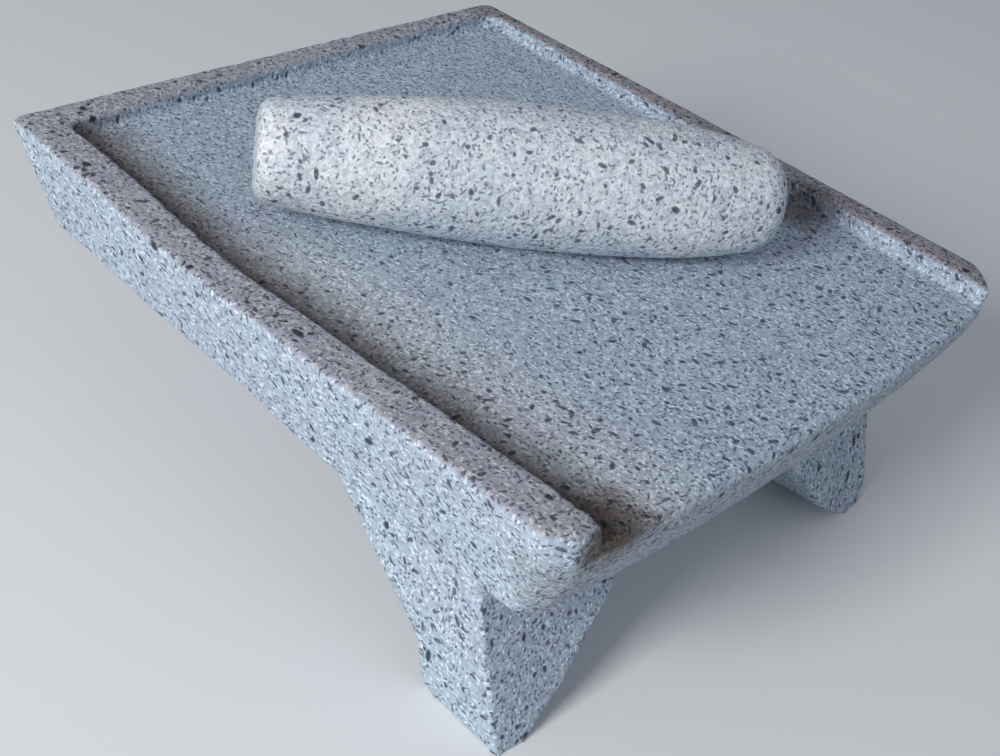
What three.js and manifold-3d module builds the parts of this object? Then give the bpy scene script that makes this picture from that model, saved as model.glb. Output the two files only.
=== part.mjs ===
// Saddle quern: a three-legged grinding slab with a raised rim on three sides, and its loose handstone.
// Millimetres, +Z up. The origin is on the ground under the middle of the slab, the open end of the
// tray faces -Y, and the rim runs round the left (-X), rear (+Y) and right (+X) sides.

import * as THREE from 'three';
import { mergeVertices } from 'three/addons/utils/BufferGeometryUtils.js';
import Module from 'manifold-3d';

const wasm = await Module();
wasm.setup();

// Slab
const rimHeight = 141;             // rim top above the ground
const halfWidth = 171.5;
const rearY = 184.5;
const frontY = -184.5;             // middle of the bowed front edge
const frontCornerY = -177.5;       // front edge where its corners begin
const leftCornerCut = 10;          // the front corners are cut off aslant
const rightCornerCut = 18;
const cornerCutBulge = 0.12;
const rearCornerRadius = 8;
const rearLeftPull = 11;           // the left side is drawn in towards the rear
const leftStraightY = 23;          // in front of this the left side runs straight
const sweepLean = 0.8;             // shape of the left side's sweep behind that
const sweepStart = 0.55;
const sweepEnd = 0.3;
const outlineSteps = 8;
const slabDepthFront = 65;         // rim top to underside
const slabDepthRear = 54.8;
// Place from front to rear, and the slab's depth there: it is arched up behind the front legs
const slabDepths = [
  [frontY, slabDepthFront], [-45, 62], [-11, 57.5], [5, 54.3],
  [30, 53.1], [60, 52.9], [95, 54.6], [rearY, slabDepthRear],
];
const sideBow = 0.3;               // the straight sides bulge a very little
const sideBatter = 0.32;           // inward lean of the sides per unit of depth
const rearBatter = 0.32;
const frontReturn = 21.3;          // how far the front face leans back at the underside
const frontCrestDepth = 15;        // the front face starts to lean back below this depth
const frontReturnPower = 1.3;
const arrisRadius = 3;             // worn outer top edge
const footingRadius = 3;           // worn edge of the underside
const arrisSteps = 3;
const faceSteps = 6;

// Tray
const leftRimWidthFront = 24;
const leftRimWidthRear = 20;
const rightRimWidthFront = 18;
const rightRimWidthRear = 11;
const rearRimWidthLeft = 18;
const rearRimWidthRight = 14;
const trayDepthFront = 10.5;
const trayDepthRear = 7.5;
const trayCornerRadius = 9;
const lipRadius = 5;               // the floor rolls over into the front face
const lipSteps = 5;

// Legs
const legRoot = 95;                // leg blanks start this high, inside the slab
const reach = 300;                 // further than any part of the quern
const clearance = 20;              // cuts run this far past the stone
const leftLeg = {
  outerRootX: 153,
  outerBendX: 148.7,
  outerBendZ: 22,
  outerFootX: 146.5,
  frontFootY: -160,
  frontRootY: -128,
  heelFootY: -111.5,
  heelBendY: -103.5,
  heelBendZ: 24,
  heelRootY: -14,
  innerFootX: 130.5,
  innerBendX: 107,
  innerBendZ: 17,
  innerArchX: 75.5,
  innerArchZ: 47,
  innerRootX: 46,
  edgeCutFoot: 6,
  edgeCutRoot: 30,
  toeOutDeg: 4.5,
};
const rightLeg = {
  ...leftLeg,
  outerRootX: 149,
  outerBendX: 142,
  outerBendZ: 9,
  outerFootX: 134.5,
  innerFootX: 118.5,
  innerBendX: 97.5,
  innerBendZ: 11,
  innerArchX: 66,
  innerRootX: 32.5,
};
const rearLeg = {
  footHalfWidth: 24,
  bendHalfWidth: 30,
  bendZ: 24,
  rootHalfWidth: 66,
  rearFootY: 144.5,
  rearRootY: 120.5,
  toeFootY: 100.5,
  toeBendY: 94.5,
  toeRootY: 32.5,
  edgeCutFoot: 3,
  edgeCutRoot: 22,
};

// Handstone, lying aslant on the tray floor
const handstoneLeft = new THREE.Vector2(-108.5, 70.5);   // ends of its axis seen from above
const handstoneRight = new THREE.Vector2(83, -85.7);
const restFlat = 1;                                    // worn flat on its underside
const restGap = 0.3;
const handstoneSides = 40;
const handstoneStations = 26;
// Share of the length, and radius there
const handstoneProfile = [
  [0, 18], [0.012, 22.5], [0.05, 25], [0.2, 29], [0.4, 33], [0.6, 33.5],
  [0.8, 31.5], [0.93, 26.5], [0.98, 22], [1, 16],
];

const FRONT_VIEW = 0;              // headings for outlines seen from the front, the side and between
const SIDE_VIEW = Math.PI / 2;
const DIAGONAL = Math.PI / 4;

const stoneGrey = 0xa9afb8;
const handstoneGrey = 0xbfc5cb;

function solidFrom(geometry) {
  const bare = geometry.clone();
  bare.deleteAttribute('normal');
  bare.deleteAttribute('uv');
  const merged = mergeVertices(bare, 1e-4);
  return new wasm.Manifold(new wasm.Mesh({
    numProp: 3,
    vertProperties: new Float32Array(merged.attributes.position.array),
    triVerts: new Uint32Array(merged.index.array),
  }));
}

function geometryFrom(solid) {
  const { vertProperties, triVerts } = solid.getMesh();
  const geometry = new THREE.BufferGeometry();
  geometry.setAttribute('position', new THREE.BufferAttribute(vertProperties, 3));
  geometry.setIndex(new THREE.BufferAttribute(triVerts, 1));
  geometry.computeVertexNormals();
  return geometry;
}

function stone(color) {
  return new THREE.MeshStandardMaterial({ color, roughness: 0.92, metalness: 0 });
}

// An upright outline of (u, z) points, where u runs level at a heading from +X, drawn out level
// both ways across that heading
function drawAcross(points, heading, halfDepth) {
  const shape = new THREE.Shape(points.map(([u, z]) => new THREE.Vector2(u, z)));
  const geometry = new THREE.ExtrudeGeometry(shape, { depth: 2 * halfDepth, bevelEnabled: false });
  geometry.translate(0, 0, -halfDepth);
  geometry.rotateX(Math.PI / 2);
  geometry.rotateZ(heading);
  return solidFrom(geometry);
}

// Points along a straight side wherever the slab's depth changes, bowed out a little
function bowedSide(shape, side, fromY, toY) {
  const places = slabDepths.map(([y]) => y).filter((y) => (y - fromY) * (y - toY) < 0);
  if (toY < fromY) places.reverse();
  for (const y of places) {
    const share = (y - fromY) / (toY - fromY);
    shape.lineTo(side * (halfWidth + 4 * sideBow * share * (1 - share)), y);
  }
}

// A front corner cut off aslant, bulging a little; the outline arrives from the left or the front
function cutFrontCorner(shape, side, cut) {
  const sideEnd = new THREE.Vector2(side * halfWidth, frontCornerY + cut);
  const frontEnd = new THREE.Vector2(side * (halfWidth - cut), frontCornerY);
  const sharp = new THREE.Vector2(side * halfWidth, frontCornerY);
  const bulge = sideEnd.clone().lerp(frontEnd, 0.5).lerp(sharp, 2 * cornerCutBulge);
  const [from, to] = side < 0 ? [sideEnd, frontEnd] : [frontEnd, sideEnd];
  shape.lineTo(from.x, from.y);
  shape.quadraticCurveTo(bulge.x, bulge.y, to.x, to.y);
}

// A left edge seen from above, from a rounded rear corner down to where it runs straight
function sweepLeftSide(shape, rear, front, cornerRadius) {
  const fall = rear.y - cornerRadius - front.y;
  shape.lineTo(rear.x + cornerRadius, rear.y);
  shape.quadraticCurveTo(rear.x, rear.y, rear.x, rear.y - cornerRadius);
  shape.bezierCurveTo(THREE.MathUtils.lerp(front.x, rear.x, sweepLean), front.y + fall * sweepStart,
    front.x, front.y + fall * sweepEnd, front.x, front.y);
}

// The rim's outer outline seen from above, anticlockwise from the rear right corner
function slabOutline() {
  const leftRear = new THREE.Vector2(-halfWidth + rearLeftPull, rearY);
  const leftStraight = new THREE.Vector2(-halfWidth, leftStraightY);
  const shape = new THREE.Shape();
  shape.moveTo(halfWidth - rearCornerRadius, rearY);
  sweepLeftSide(shape, leftRear, leftStraight, rearCornerRadius);
  bowedSide(shape, -1, leftStraightY, frontCornerY + leftCornerCut);
  cutFrontCorner(shape, -1, leftCornerCut);
  shape.quadraticCurveTo(0, 2 * frontY - frontCornerY, halfWidth - rightCornerCut, frontCornerY);
  cutFrontCorner(shape, 1, rightCornerCut);
  bowedSide(shape, 1, frontCornerY + rightCornerCut, rearY - rearCornerRadius);
  shape.lineTo(halfWidth, rearY - rearCornerRadius);
  shape.quadraticCurveTo(halfWidth, rearY, halfWidth - rearCornerRadius, rearY);
  const points = shape.getPoints(outlineSteps);
  points.pop();
  return points;
}

// How deep the slab is at a given y, from the rim top to the underside
function slabDepthAt(y) {
  const places = slabDepths.map(([place]) => place);
  const depths = slabDepths.map(([, depth]) => depth);
  return new THREE.LinearInterpolant(places, depths, 1).evaluate(y)[0];
}

// Shares of the depth at which the slab's skin has a ring of points
function ringShares() {
  const shares = [];
  for (let i = 0; i <= arrisSteps; i++) {
    shares.push((1 - Math.cos(i / arrisSteps * Math.PI / 2)) * arrisRadius / slabDepthFront);
  }
  const faceStart = frontCrestDepth / slabDepthFront;
  const faceEnd = 1 - footingRadius / slabDepthFront;
  for (let i = 0; i <= faceSteps; i++) {
    shares.push(THREE.MathUtils.lerp(faceStart, faceEnd, i / faceSteps));
  }
  for (let i = 1; i <= arrisSteps; i++) {
    shares.push(1 - (1 - Math.sin(i / arrisSteps * Math.PI / 2)) * footingRadius / slabDepthFront);
  }
  return shares;
}

// Roundness of an edge: how far the skin is drawn in at a distance from that edge
function roundedInset(distance, radius) {
  const short = Math.max(radius - distance, 0);
  return radius - Math.sqrt(Math.max(radius * radius - short * short, 0));
}

function edgeInset(depth, fullDepth) {
  return roundedInset(depth, arrisRadius) + roundedInset(fullDepth - depth, footingRadius);
}

function frontInset(depth, fullDepth) {
  const below = Math.max(depth - frontCrestDepth, 0) / (fullDepth - frontCrestDepth);
  return frontReturn * below ** frontReturnPower + edgeInset(depth, fullDepth);
}

function batteredInset(depth, fullDepth, batter) {
  return batter * Math.max(depth - arrisRadius, 0) + edgeInset(depth, fullDepth);
}

// One point of the slab's skin, from a point of its outline and a share of the depth there
function skinPoint(outlinePoint, share) {
  const { x, y } = outlinePoint;
  const fullDepth = slabDepthAt(y);
  const depth = share * fullDepth;
  const along = y < 0
    ? 1 - frontInset(depth, fullDepth) / -frontY
    : 1 - batteredInset(depth, fullDepth, rearBatter) / rearY;
  const across = 1 - batteredInset(depth, fullDepth, sideBatter) / halfWidth;
  return new THREE.Vector3(x * across, y * along, rimHeight - depth);
}

function slabBlank() {
  const outline = slabOutline();
  const shares = ringShares();
  const positions = [];
  for (const share of shares) {
    for (const point of outline) positions.push(...skinPoint(point, share).toArray());
  }
  const count = outline.length;
  const faces = [];
  for (let ring = 0; ring + 1 < shares.length; ring++) {
    for (let i = 0; i < count; i++) {
      const next = (i + 1) % count;
      const [a, b] = [ring * count + i, ring * count + next];
      faces.push(a, a + count, b, b, a + count, b + count);
    }
  }
  const lastRing = (shares.length - 1) * count;
  for (const [i, j, k] of THREE.ShapeUtils.triangulateShape(outline, [])) {
    faces.push(i, j, k, lastRing + k, lastRing + j, lastRing + i);
  }
  const geometry = new THREE.BufferGeometry();
  geometry.setAttribute('position', new THREE.Float32BufferAttribute(positions, 3));
  geometry.setIndex(faces);
  return solidFrom(geometry);
}

// Height of the tray floor, which falls a little towards the open front
function trayFloorAt(y) {
  return rimHeight - THREE.MathUtils.mapLinear(y, frontY, rearY, trayDepthFront, trayDepthRear);
}

// What is carved out above the tray floor, with the floor rolled over at the front
function trayFloorCut() {
  const above = rimHeight + clearance;
  const outside = frontY - clearance;
  const lipStartY = frontY + lipRadius;
  const lipTop = trayFloorAt(lipStartY);
  const profile = [[rearY, above], [rearY, trayFloorAt(rearY)]];
  for (let i = 0; i <= lipSteps; i++) {
    const turn = i / lipSteps * Math.PI / 2;
    profile.push([lipStartY - lipRadius * Math.sin(turn), lipTop - lipRadius * (1 - Math.cos(turn))]);
  }
  profile.push([outside, lipTop - lipRadius], [outside, above]);
  return drawAcross(profile.reverse(), SIDE_VIEW, halfWidth);
}

// The space between the rims seen from above, open at the front
function trayPlanCut() {
  const leftRear = new THREE.Vector2(
    -halfWidth + rearLeftPull + leftRimWidthRear, rearY - rearRimWidthLeft);
  const leftStraight = new THREE.Vector2(-halfWidth + leftRimWidthRear, leftStraightY);
  const leftFront = -halfWidth + leftRimWidthFront;
  const rightFront = halfWidth - rightRimWidthFront;
  const rightRear = new THREE.Vector2(halfWidth - rightRimWidthRear, rearY - rearRimWidthRight);
  const open = frontY - clearance;
  const shape = new THREE.Shape();
  shape.moveTo(rightRear.x - trayCornerRadius, rightRear.y);
  sweepLeftSide(shape, leftRear, leftStraight, trayCornerRadius);
  shape.lineTo(leftFront, frontCornerY);
  shape.lineTo(leftFront, open);
  shape.lineTo(rightFront, open);
  shape.lineTo(rightFront, frontCornerY);
  shape.lineTo(rightRear.x, rightRear.y - trayCornerRadius);
  shape.quadraticCurveTo(rightRear.x, rightRear.y, rightRear.x - trayCornerRadius, rightRear.y);
  const settings = { depth: 2 * clearance, bevelEnabled: false, curveSegments: outlineSteps };
  const geometry = new THREE.ExtrudeGeometry(shape, settings);
  geometry.translate(0, 0, rimHeight - clearance);
  return solidFrom(geometry);
}

// A front leg: leans forward, widens up into the slab to the rear and towards the middle, and
// has its inner rear edge cut off. It is shaped as a left leg, toed out, and mirrored for the right.
function frontLegBlank(leg, side) {
  const profile = [
    [leg.frontRootY, legRoot], [leg.frontFootY, 0], [leg.heelFootY, 0],
    [leg.heelBendY, leg.heelBendZ], [leg.heelRootY, legRoot],
  ];
  const face = [
    [-leg.outerRootX, legRoot], [-leg.outerBendX, leg.outerBendZ],
    [-leg.outerFootX, 0], [-leg.innerFootX, 0],
    [-leg.innerBendX, leg.innerBendZ], [-leg.innerArchX, leg.innerArchZ], [-leg.innerRootX, legRoot],
  ];
  const footEdge = (-leg.innerFootX + leg.heelFootY) * Math.SQRT1_2 + leg.edgeCutFoot;
  const rootEdge = (-leg.innerRootX + leg.heelRootY) * Math.SQRT1_2 - leg.edgeCutRoot;
  const edge = [[-reach, legRoot], [-reach, 0], [footEdge, 0], [rootEdge, legRoot]];
  const left = drawAcross(profile, SIDE_VIEW, reach)
    .intersect(drawAcross(face, FRONT_VIEW, reach))
    .intersect(drawAcross(edge, DIAGONAL, reach));
  const toed = left.translate([leg.outerFootX, -leg.heelFootY, 0])
    .rotate([0, 0, -leg.toeOutDeg])
    .translate([-leg.outerFootX, leg.heelFootY, 0]);
  return side < 0 ? toed : toed.mirror([1, 0, 0]);
}

// The rear leg stands in the middle and leans the other way
function rearLegBlank() {
  const leg = rearLeg;
  const profile = [
    [leg.toeRootY, legRoot], [leg.toeBendY, leg.bendZ], [leg.toeFootY, 0],
    [leg.rearFootY, 0], [leg.rearRootY, legRoot],
  ];
  const face = [
    [leg.rootHalfWidth, legRoot], [-leg.rootHalfWidth, legRoot], [-leg.bendHalfWidth, leg.bendZ],
    [-leg.footHalfWidth, 0], [leg.footHalfWidth, 0], [leg.bendHalfWidth, leg.bendZ],
  ];
  const footEdge = (leg.footHalfWidth - leg.toeFootY) * Math.SQRT1_2 + leg.edgeCutFoot;
  const rootEdge = (leg.rootHalfWidth - leg.toeRootY) * Math.SQRT1_2 - leg.edgeCutRoot;
  const edge = [[-reach, legRoot], [-reach, 0], [footEdge, 0], [rootEdge, legRoot]];
  const edgeCut = drawAcross(edge, -DIAGONAL, reach);
  return drawAcross(profile, SIDE_VIEW, reach)
    .intersect(drawAcross(face, FRONT_VIEW, reach))
    .intersect(edgeCut)
    .intersect(edgeCut.mirror([1, 0, 0]));
}

function quernStone() {
  const tray = trayFloorCut().intersect(trayPlanCut());
  const solid = slabBlank().subtract(tray)
    .add(frontLegBlank(leftLeg, -1))
    .add(frontLegBlank(rightLeg, 1))
    .add(rearLegBlank());
  const mesh = new THREE.Mesh(geometryFrom(solid), stone(stoneGrey));
  mesh.name = 'quern_stone';
  return mesh;
}

function handstone(length) {
  const knots = handstoneProfile.map(([share, radius]) => new THREE.Vector2(radius, share * length));
  const curve = new THREE.SplineCurve(knots).getPoints(handstoneStations);
  const profile = [new THREE.Vector2(0, 0), ...curve, new THREE.Vector2(0, length)];
  const lathe = new THREE.LatheGeometry(profile, handstoneSides);
  lathe.rotateZ(-Math.PI / 2);
  const largest = Math.max(...handstoneProfile.map(([, r]) => r));
  const belowFlat = [
    [-largest, -2 * largest], [largest, -2 * largest],
    [largest, restFlat - largest], [-largest, restFlat - largest],
  ];
  const wear = drawAcross(belowFlat, SIDE_VIEW, reach);
  const mesh = new THREE.Mesh(geometryFrom(solidFrom(lathe).subtract(wear)), stone(handstoneGrey));
  mesh.name = 'handstone';
  mesh.position.z = largest - restFlat + restGap;
  return mesh;
}

// The handstone is laid on the sloping tray floor
function handstoneOnTray() {
  const along = handstoneRight.clone().sub(handstoneLeft);
  const aslant = new THREE.Group();
  aslant.position.set(handstoneLeft.x, handstoneLeft.y, 0);
  aslant.rotation.z = along.angle();
  aslant.add(handstone(along.length()));
  const floor = new THREE.Group();
  floor.position.z = trayFloorAt(0);
  floor.rotation.x = Math.atan2(trayDepthFront - trayDepthRear, rearY - frontY);
  floor.add(aslant);
  return floor;
}

const group = new THREE.Group();
group.name = 'saddle_quern';
group.add(quernStone(), handstoneOnTray());

export default group;
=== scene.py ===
"""Looks of the saddle quern stone and its handstone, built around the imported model. Metres, +Z up."""

import math

import bpy
import numpy as np
from mathutils import Matrix, Vector, noise


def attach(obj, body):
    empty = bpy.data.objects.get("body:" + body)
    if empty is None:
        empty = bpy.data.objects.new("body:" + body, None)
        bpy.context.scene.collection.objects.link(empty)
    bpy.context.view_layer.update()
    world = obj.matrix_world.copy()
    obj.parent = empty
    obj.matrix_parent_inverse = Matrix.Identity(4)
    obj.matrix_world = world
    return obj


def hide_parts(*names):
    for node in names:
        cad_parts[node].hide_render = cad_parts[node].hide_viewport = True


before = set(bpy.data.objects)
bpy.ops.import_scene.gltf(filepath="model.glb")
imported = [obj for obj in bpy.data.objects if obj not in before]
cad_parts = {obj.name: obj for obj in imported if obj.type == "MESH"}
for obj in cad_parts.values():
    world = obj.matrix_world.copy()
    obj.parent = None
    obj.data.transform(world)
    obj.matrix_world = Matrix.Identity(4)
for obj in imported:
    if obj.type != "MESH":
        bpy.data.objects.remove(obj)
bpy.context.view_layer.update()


def rgb(red, green, blue):
    return (red, green, blue, 1.0)


# Sculpted surface
QUERN_VOXEL = 0.0014
HANDSTONE_VOXEL = 0.0009
WELD_DISTANCE = 1e-6
TRIANGLE_LIMIT = 190000          # a piece's skin is thinned to this
UNEVEN_SIZE = 0.075              # sizes of the noise that shapes the skin
PECK_SIZE = 0.0046
CHIP_SIZE = 0.013
PECK_OFFSET = 23.0               # where each noise is taken, so that they differ
CHIP_OFFSET = 37.0
CHIP_START = 0.35                # noise below this leaves an edge whole
WEAR_ROUNDS = 12
WEAR_FULL = 0.0011               # an edge standing out this far counts as sharp
QUERN_SKIN = {"offset": 3.0, "unevenness": 0.0003, "pecking": 0.00018, "chipping": 0.0022}
HANDSTONE_SKIN = {"offset": 71.0, "unevenness": 0.0006, "pecking": 0.00022, "chipping": 0.0020}

# Stone
QUERN_COLOURS = {
    "pale": rgb(0.43, 0.53, 0.62), "cool": rgb(0.43, 0.50, 0.61), "glint": rgb(0.78, 0.88, 0.97),
    "grey": rgb(0.11, 0.14, 0.20), "dark": rgb(0.03, 0.045, 0.075),
}
HANDSTONE_COLOURS = {
    "pale": rgb(0.72, 0.76, 0.81), "cool": rgb(0.60, 0.67, 0.75), "glint": rgb(0.86, 0.87, 0.86),
    "grey": rgb(0.20, 0.24, 0.30), "dark": rgb(0.05, 0.06, 0.09),
}
# Grains: size of the cells that may hold one, length, width, share of cells that do, strength
PALE_NEEDLES = (0.0036, 0.0048, 0.0013, 0.8, 0.8)
DARK_NEEDLES = (0.0034, 0.0052, 0.0013, 0.75, 0.85)
MEDIUM_SPECKS = (0.0064, 0.0058, 0.0024, 0.55, 0.8)
LARGE_SPECKS = (0.0170, 0.0085, 0.0038, 0.3, 0.95)
NEEDLE_SHIFTS = (0.0, 0.31)      # each layer of needles is taken from another place
GRAIN_EDGE = (1.15, 0.7)         # a grain fades in over this share of its half size
CRYSTALS_PER_METRE = 520.0
CRYSTAL_SPREAD = (0.86, 1.14)    # darkest and lightest
BUMP_DISTANCE = 0.0011

# Places on the quern
RIM_TOP = 0.141
WALL_X = -0.1515                 # the left rim's inner wall, where it runs straight
WALL_STRAIGHT_Y = 0.023          # behind this it is drawn in to the rear
WALL_REAR_Y = 0.170
WALL_FRONT_Y = -0.1775
WALL_REAR_PULL = 0.0115
WALL_FRONT_PULL = 0.0040

# Tints, brown residue and painted shade on the quern. A fade is where it begins and where it is full.
# The rim tops made warmer and darker, the right rim's darker still
RIM_TINT = rgb(0.91, 0.78, 0.75)
RIGHT_RIM_TINT = rgb(0.76, 0.73, 0.70)
# Brown residue with painted shadow: darkens the floor at the left rim's foot and in two patches
RESIDUE_AND_SHADOW = rgb(0.42, 0.31, 0.25)
DUSTY_BAND = rgb(1.12, 1.04, 0.98)
# Painted shade: darkens the front face below the crest, which leans back and faces down
FRONT_SHADE = rgb(0.84, 0.82, 0.80)
RAGGEDNESS = 0.016
ON_RIM = (RIM_TOP - 0.0025, RIM_TOP - 0.0008)
BELOW_RIM = (RIM_TOP - 0.0008, RIM_TOP - 0.0025)
ABOVE_LIP = (0.120, 0.126)
PAST_WALL = (-0.012, -0.006)
SHORT_OF_REAR = (0.170, 0.164)
RIGHT_RIM = (0.146, 0.152)
WALL_FOOT = (0.042, 0.006)
BAND_NEAR = (0.018, 0.034)
BAND_FAR = (0.072, 0.044)
BAND_REAR = (0.09, 0.02)
UNDER_CREST = (0.1290, 0.1180)
ABOVE_UNDERSIDE = (0.066, 0.080)
FRONT_FACE = (-0.1500, -0.1560)
SHADOW_AND_RESIDUE_PATCHES = (              # place, radius and strength
    # brown residue with painted shadow where the left rim's groove ends at the front
    ((-0.133, -0.170, 0.131), 0.030, 0.8),
    # painted shadow at the foot of the right rim, beyond the handstone's right end
    ((0.143, -0.066, 0.131), 0.029, 0.9),
)

# Stage
FLOOR_TONE = 0.88
FLOOR_REACH = 6.0
LIGHT_TARGET = (0.0, 0.0, 0.08)
SKY_COLOUR = rgb(0.82, 0.88, 1.0)
SKY_STRENGTH = 0.33

# Camera
CAMERA_PLACE = (-0.5451, -0.4061, 0.5046)
CAMERA_HEADING = 53.99           # degrees from +Y towards +X
CAMERA_ELEVATION = 34.29
CAMERA_ROLL = 12.37
CAMERA_LENS = 57.6
SENSOR_WIDTH = 36.0


# ---------------------------------------------------------------- sculpting

def copied_node(node, name):
    """A new object with the CAD node's mesh."""
    piece = bpy.data.objects.new(name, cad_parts[node].data.copy())
    piece.matrix_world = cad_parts[node].matrix_world
    bpy.context.collection.objects.link(piece)
    piece.data.materials.clear()
    return piece


def apply_modifier(piece, kind, **settings):
    modifier = piece.modifiers.new(kind, kind)
    for name, value in settings.items():
        setattr(modifier, name, value)
    graph = bpy.context.evaluated_depsgraph_get()
    mesh = bpy.data.meshes.new_from_object(piece.evaluated_get(graph))
    piece.modifiers.clear()
    old = piece.data
    piece.data = mesh
    bpy.data.meshes.remove(old)


def remeshed(node, name, voxel):
    """The node's solid as an even skin of small quads, a little softened."""
    piece = copied_node(node, name)
    apply_modifier(piece, "WELD", merge_threshold=WELD_DISTANCE)
    apply_modifier(piece, "REMESH", mode="VOXEL", voxel_size=voxel, adaptivity=0.0)
    apply_modifier(piece, "SMOOTH", factor=0.5, iterations=1)
    return piece


def points_of(mesh):
    flat = np.empty(len(mesh.vertices) * 3)
    mesh.vertices.foreach_get("co", flat)
    return flat.reshape(-1, 3)


def normals_of(mesh):
    flat = np.empty(len(mesh.vertices) * 3, np.float32)
    mesh.vertices.foreach_get("normal", flat)
    return flat.reshape(-1, 3).astype(float)


def set_points(mesh, points):
    mesh.vertices.foreach_set("co", points.ravel())
    mesh.update()


def edges_of(mesh):
    flat = np.empty(len(mesh.edges) * 2, np.int32)
    mesh.edges.foreach_get("vertices", flat)
    return flat.reshape(-1, 2)


def spread(points, edges, rounds):
    """Points averaged with their neighbours along the mesh's edges."""
    count = len(points)
    ends = np.concatenate([edges[:, 0], edges[:, 1]])
    others = np.concatenate([edges[:, 1], edges[:, 0]])
    degree = np.bincount(ends, minlength=count)
    for _ in range(rounds):
        around = [np.bincount(ends, points[others, axis], count) / degree for axis in range(3)]
        points = 0.5 * (points + np.stack(around, 1))
    return points


def noise_at(points, size, offset, octaves=1):
    """Smooth noise from about -1 to 1 with features of a given size."""
    shift = Vector((offset, -offset, 0.5 * offset))
    scaled = points / size
    if octaves == 1:
        return np.array([noise.noise(Vector(p) + shift) for p in scaled])
    return np.array([noise.fractal(Vector(p) + shift, 0.9, 2.1, octaves) for p in scaled])


def edge_wear(mesh):
    """How sharply the skin turns outwards at each point, from 0 on flat faces to 1 on edges."""
    points = points_of(mesh)
    average = spread(points, edges_of(mesh), WEAR_ROUNDS)
    outward = np.einsum("ij,ij->i", points - average, normals_of(mesh))
    return np.clip(outward / WEAR_FULL, 0.0, 1.0)


def sculpt(piece, offset, unevenness, pecking, chipping):
    """Hand-dressed stone: broad unevenness, a pecked skin, and chipped and rubbed edges."""
    mesh = piece.data
    points = points_of(mesh)
    normals = normals_of(mesh)
    wear = edge_wear(mesh)
    broad = noise_at(points, UNEVEN_SIZE, offset)
    pecked = noise_at(points, PECK_SIZE, offset + PECK_OFFSET, 3)
    chips = np.clip(noise_at(points, CHIP_SIZE, offset + CHIP_OFFSET, 2) - CHIP_START, 0.0, 1.0)
    height = unevenness * broad + pecking * pecked - chipping * wear * chips
    set_points(mesh, points + normals * height[:, None])
    thin_out(piece)


def thin_out(piece):
    """Fewer triangles where the skin is plain."""
    triangles = sum(len(face.vertices) - 2 for face in piece.data.polygons)
    if triangles > TRIANGLE_LIMIT:
        apply_modifier(piece, "DECIMATE", ratio=TRIANGLE_LIMIT / triangles)


def shade_smooth(piece):
    piece.data.polygons.foreach_set("use_smooth", np.ones(len(piece.data.polygons), bool))
    piece.data.update()


# ---------------------------------------------------------------- materials

class Nodes:
    """Short ways to add and link shader nodes."""

    def __init__(self, name):
        self.material = bpy.data.materials.new(name)
        self.material.use_nodes = True
        self.tree = self.material.node_tree
        self.tree.nodes.clear()

    def add(self, kind, inputs=None, **settings):
        node = self.tree.nodes.new(kind)
        for key, value in settings.items():
            setattr(node, key, value)
        for key, value in (inputs or {}).items():
            self.feed(node.inputs[key], value)
        return node

    def feed(self, socket, value):
        if isinstance(value, bpy.types.NodeSocket):
            self.tree.links.new(value, socket)
        else:
            socket.default_value = value

    def math(self, operation, a, b):
        node = self.add("ShaderNodeMath", operation=operation)
        self.feed(node.inputs[0], a)
        self.feed(node.inputs[1], b)
        return node.outputs[0]

    def product(self, first, *others):
        for other in others:
            first = self.math("MULTIPLY", first, other)
        return first

    def vector_math(self, operation, a, b):
        node = self.add("ShaderNodeVectorMath", operation=operation)
        self.feed(node.inputs[0], a)
        self.feed(node.inputs[1], b)
        return node.outputs[0]

    def length(self, vector):
        return self.add("ShaderNodeVectorMath", {0: vector}, operation="LENGTH").outputs["Value"]

    def scaled(self, vector, factor):
        node = self.add("ShaderNodeVectorMath", {"Scale": factor}, operation="SCALE")
        self.feed(node.inputs[0], vector)
        return node.outputs[0]

    def ramp(self, value, low, high, to_low=0.0, to_high=1.0):
        """value from low..high turned smoothly into to_low..to_high."""
        node = self.add("ShaderNodeMapRange", interpolation_type="SMOOTHSTEP")
        for key, number in zip(("Value", "From Min", "From Max", "To Min", "To Max"),
                               (value, low, high, to_low, to_high)):
            self.feed(node.inputs[key], number)
        return node.outputs[0]

    def mix(self, share, a, b, blend="MIX"):
        node = self.add("ShaderNodeMix", data_type="RGBA", blend_type=blend)
        self.feed(node.inputs[0], share)
        self.feed(node.inputs[6], a)
        self.feed(node.inputs[7], b)
        return node.outputs[2]

    def noise(self, place, scale, detail=2.0, roughness=0.5):
        node = self.add("ShaderNodeTexNoise", {
            "Vector": place, "Scale": scale, "Detail": detail, "Roughness": roughness})
        return node.outputs[0]

    def grains(self, place, cell, length, width, share, strength):
        """Long grains lying every way, one in some of the cells: strength inside, 0 outside."""
        cells = self.add("ShaderNodeTexVoronoi", {"Vector": place, "Scale": 1.0 / cell})
        away = self.vector_math("SUBTRACT", place, cells.outputs["Position"])
        turned = self.add("ShaderNodeVectorRotate", {"Vector": away}, rotation_type="EULER_XYZ")
        self.feed(turned.inputs["Rotation"], self.scaled(cells.outputs["Color"], 2.0 * math.pi))
        across = (2.0 / length, 2.0 / width, 2.0 / width)
        distance = self.length(self.vector_math("MULTIPLY", turned.outputs[0], across))
        luck = self.add("ShaderNodeSeparateColor", {"Color": cells.outputs["Color"]})
        chosen = self.math("LESS_THAN", luck.outputs["Blue"], share)
        return self.product(self.ramp(distance, *GRAIN_EDGE), chosen, strength)


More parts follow.
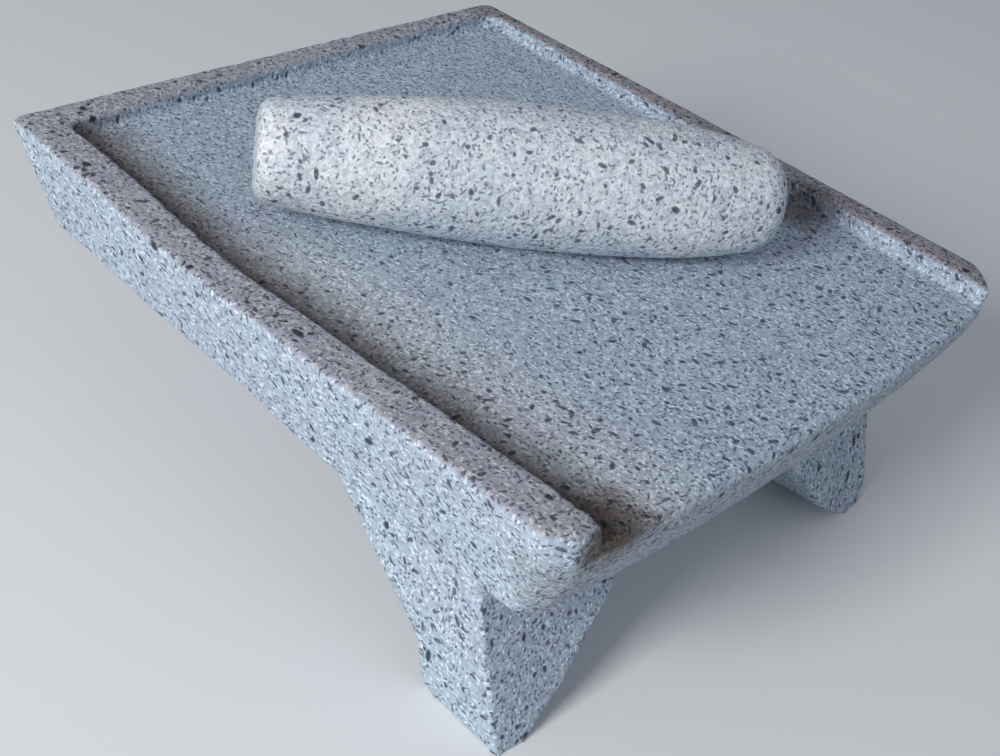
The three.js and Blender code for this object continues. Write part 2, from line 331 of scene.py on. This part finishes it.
def crystals(n, place):
    """How light the rock's crystals are, about 1 on average."""
    cells = n.add("ShaderNodeTexVoronoi", {"Vector": place, "Scale": CRYSTALS_PER_METRE})
    luck = n.add("ShaderNodeSeparateColor", {"Color": cells.outputs["Color"]})
    mosaic = n.ramp(luck.outputs["Red"], 0.0, 1.0, *CRYSTAL_SPREAD)
    fine = n.ramp(n.noise(place, 620.0, 2.0, 0.6), 0.3, 0.7, *CRYSTAL_SPREAD)
    return n.product(mosaic, fine)


def shaken(n, place):
    """The place moved about a little, so that grains aren't quite straight."""
    wobble = n.add("ShaderNodeTexNoise", {"Vector": place, "Scale": 300.0, "Detail": 2.0})
    shake = n.vector_math("SUBTRACT", wobble.outputs["Color"], (0.5, 0.5, 0.5))
    return n.vector_math("ADD", place, n.scaled(shake, 0.0012))


def needled(n, place, colour, glint, grey):
    """The colour with layers of pale and dark needles over it."""
    for shift in NEEDLE_SHIFTS:
        moved = n.vector_math("ADD", place, (shift, shift, -shift))
        colour = n.mix(n.grains(moved, *PALE_NEEDLES), colour, glint)
        moved = n.vector_math("ADD", place, (-shift, shift, shift))
        colour = n.mix(n.grains(moved, *DARK_NEEDLES), colour, grey)
    return colour


def stone_shader(n, place, colour, cloud, specks):
    """A rough pecked skin, a little sunken at the dark specks."""
    relief = n.math("SUBTRACT", n.noise(place, 430.0, 4.0, 0.65), n.product(specks, 0.35))
    bump = n.add("ShaderNodeBump", {"Height": relief, "Strength": 0.9, "Distance": BUMP_DISTANCE})
    rough = n.math("ADD", n.product(cloud, 0.2), 0.72)
    shader = n.add("ShaderNodeBsdfPrincipled", {
        "Base Color": colour, "Roughness": rough, "Normal": bump.outputs[0]})
    shader.inputs["Specular IOR Level"].default_value = 0.3
    return shader


def stone_material(name, pale, cool, glint, grey, dark, marks_and_shade=None):
    """Speckled granite-like rock: pale matrix, glinting and dark needles, dark specks."""
    n = Nodes(name)
    place = n.add("ShaderNodeTexCoord").outputs["Object"]
    grain_place = shaken(n, place)
    cloud = n.noise(place, 24.0, 3.0)
    colour = n.mix(n.ramp(cloud, 0.38, 0.62), pale, cool)
    colour = n.scaled(colour, crystals(n, grain_place))
    colour = needled(n, grain_place, colour, glint, grey)
    medium = n.grains(grain_place, *MEDIUM_SPECKS)
    large = n.grains(grain_place, *LARGE_SPECKS)
    specks = n.math("MAXIMUM", medium, large)
    colour = n.mix(specks, colour, dark)
    # the quern's tints, brown residue and painted shade go into the colour here
    if marks_and_shade:
        colour = marks_and_shade(n, place, colour)
    shader = stone_shader(n, place, colour, cloud, specks)
    out = n.add("ShaderNodeOutputMaterial")
    n.tree.links.new(shader.outputs[0], out.inputs[0])
    return n.material


# ---------------------------------------------------------------- tints, residue and painted shade

def distance_off_wall(n, x, y, ragged):
    """How far a place is into the tray from the left rim's inner wall."""
    drawn_in = n.ramp(y, WALL_STRAIGHT_Y, WALL_REAR_Y, 0.0, WALL_REAR_PULL)
    widened = n.ramp(y, WALL_FRONT_Y, WALL_STRAIGHT_Y, WALL_FRONT_PULL, 0.0)
    wall = n.math("ADD", n.math("ADD", drawn_in, widened), WALL_X)
    return n.math("ADD", n.math("SUBTRACT", x, wall), ragged)


def rim_tinted(n, x, z, colour):
    """Warmer rims, the right one more so."""
    on_rim = n.ramp(z, *ON_RIM)
    colour = n.mix(on_rim, colour, RIM_TINT, "MULTIPLY")
    right = n.product(on_rim, n.ramp(x, *RIGHT_RIM))
    return n.mix(right, colour, RIGHT_RIM_TINT, "MULTIPLY")


def tray_residue_shadow_and_dust(n, y, z, off_wall, colour):
    """Brown residue with painted shadow along the wall's foot, and a paler dusty band beside it."""
    in_tray = n.product(n.ramp(z, *BELOW_RIM), n.ramp(off_wall, *PAST_WALL),
                        n.ramp(z, *ABOVE_LIP), n.ramp(y, *SHORT_OF_REAR))
    # painted shadow of the left rim, with brown residue, at the wall's foot
    foot = n.product(n.ramp(off_wall, *WALL_FOOT), in_tray)
    colour = n.mix(foot, colour, RESIDUE_AND_SHADOW, "MULTIPLY")
    band = n.product(n.ramp(off_wall, *BAND_NEAR), n.ramp(off_wall, *BAND_FAR),
                     n.ramp(y, *BAND_REAR), in_tray)
    return n.mix(band, colour, DUSTY_BAND, "MULTIPLY")


def patch(n, place, centre, radius, strength):
    """A soft round patch: strength at its centre, 0 outside."""
    distance = n.length(n.vector_math("SUBTRACT", place, centre))
    return n.ramp(distance, radius, 0.25 * radius, 0.0, strength)


def quern_residue_and_shade(n, place, colour):
    """Warmer, darker rims; brown residue with painted shadow at the left rim's foot and in two patches;
    painted shade on the front face.
    """
    ragged = n.product(n.math("SUBTRACT", n.noise(place, 60.0, 4.0, 0.6), 0.5), RAGGEDNESS)
    x, y, z = n.add("ShaderNodeSeparateXYZ", {"Vector": place}).outputs
    colour = rim_tinted(n, x, z, colour)
    colour = tray_residue_shadow_and_dust(n, y, z, distance_off_wall(n, x, y, ragged), colour)
    ragged_place = n.vector_math("ADD", place, n.scaled((1.0, 1.0, 0.0), ragged))
    # patches of brown residue and painted shadow
    for centre, radius, strength in SHADOW_AND_RESIDUE_PATCHES:
        colour = n.mix(patch(n, ragged_place, centre, radius, strength), colour, RESIDUE_AND_SHADOW, "MULTIPLY")
    # painted shade on the front face below the crest
    front = n.product(n.ramp(z, *UNDER_CREST), n.ramp(y, *FRONT_FACE), n.ramp(z, *ABOVE_UNDERSIDE))
    return n.mix(front, colour, FRONT_SHADE, "MULTIPLY")


# ---------------------------------------------------------------- pieces

def dressed_quern():
    piece = remeshed("quern_stone", "quern_stone_dressed", QUERN_VOXEL)
    sculpt(piece, **QUERN_SKIN)
    piece.data.materials.append(
        stone_material("quern_granite", **QUERN_COLOURS, marks_and_shade=quern_residue_and_shade))
    return piece


def dressed_handstone():
    piece = remeshed("handstone", "handstone_dressed", HANDSTONE_VOXEL)
    sculpt(piece, **HANDSTONE_SKIN)
    piece.data.materials.append(stone_material("handstone_granite", **HANDSTONE_COLOURS))
    return piece


def place_piece(piece, node):
    shade_smooth(piece)
    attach(piece, "root")
    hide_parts(node)


# ---------------------------------------------------------------- stage

def add_floor():
    material = Nodes("stage_pale")
    shader = material.add("ShaderNodeBsdfPrincipled", {
        "Base Color": rgb(FLOOR_TONE, FLOOR_TONE, FLOOR_TONE), "Roughness": 0.9})
    out = material.add("ShaderNodeOutputMaterial")
    material.tree.links.new(shader.outputs[0], out.inputs[0])
    mesh = bpy.data.meshes.new("floor")
    corners = [(-1, -1), (1, -1), (1, 1), (-1, 1)]
    mesh.from_pydata([(FLOOR_REACH * x, FLOOR_REACH * y, 0) for x, y in corners], [], [(0, 1, 2, 3)])
    floor = bpy.data.objects.new("floor", mesh)
    floor.data.materials.append(material.material)
    bpy.context.collection.objects.link(floor)


def add_light(name, azimuth, elevation, distance, size, power, colour):
    """A soft square light at a heading (degrees from +X towards +Y) aimed at the stone."""
    data = bpy.data.lights.new(name, "AREA")
    data.size, data.energy, data.color = size, power, colour
    light = bpy.data.objects.new(name, data)
    heading, rise = math.radians(azimuth), math.radians(elevation)
    level = math.cos(rise)
    away = Vector((math.cos(heading) * level, math.sin(heading) * level, math.sin(rise)))
    light.location = Vector(LIGHT_TARGET) + away * distance
    light.rotation_mode = "QUATERNION"
    light.rotation_quaternion = away.to_track_quat("Z", "Y")
    bpy.context.collection.objects.link(light)


def add_sky():
    world = bpy.data.worlds.new("studio")
    world.use_nodes = True
    back = world.node_tree.nodes["Background"]
    back.inputs["Color"].default_value = SKY_COLOUR
    back.inputs["Strength"].default_value = SKY_STRENGTH
    bpy.context.scene.world = world


def add_camera():
    data = bpy.data.cameras.new("camera")
    data.lens, data.sensor_width = CAMERA_LENS, SENSOR_WIDTH
    data.clip_start, data.clip_end = 0.05, 50.0
    camera = bpy.data.objects.new("camera", data)
    turn = (Matrix.Rotation(math.radians(-CAMERA_HEADING), 4, "Z")
            @ Matrix.Rotation(math.radians(90.0 - CAMERA_ELEVATION), 4, "X")
            @ Matrix.Rotation(math.radians(CAMERA_ROLL), 4, "Z"))
    camera.matrix_world = Matrix.Translation(CAMERA_PLACE) @ turn
    bpy.context.collection.objects.link(camera)
    bpy.context.scene.camera = camera


place_piece(dressed_quern(), "quern_stone")
place_piece(dressed_handstone(), "handstone")
add_floor()
add_sky()
add_light("key", azimuth=184.0, elevation=28.0, distance=2.2, size=0.7, power=34.5,
          colour=(1.0, 0.99, 0.97))
add_camera()
bpy.context.scene.view_settings.view_transform = "Standard"
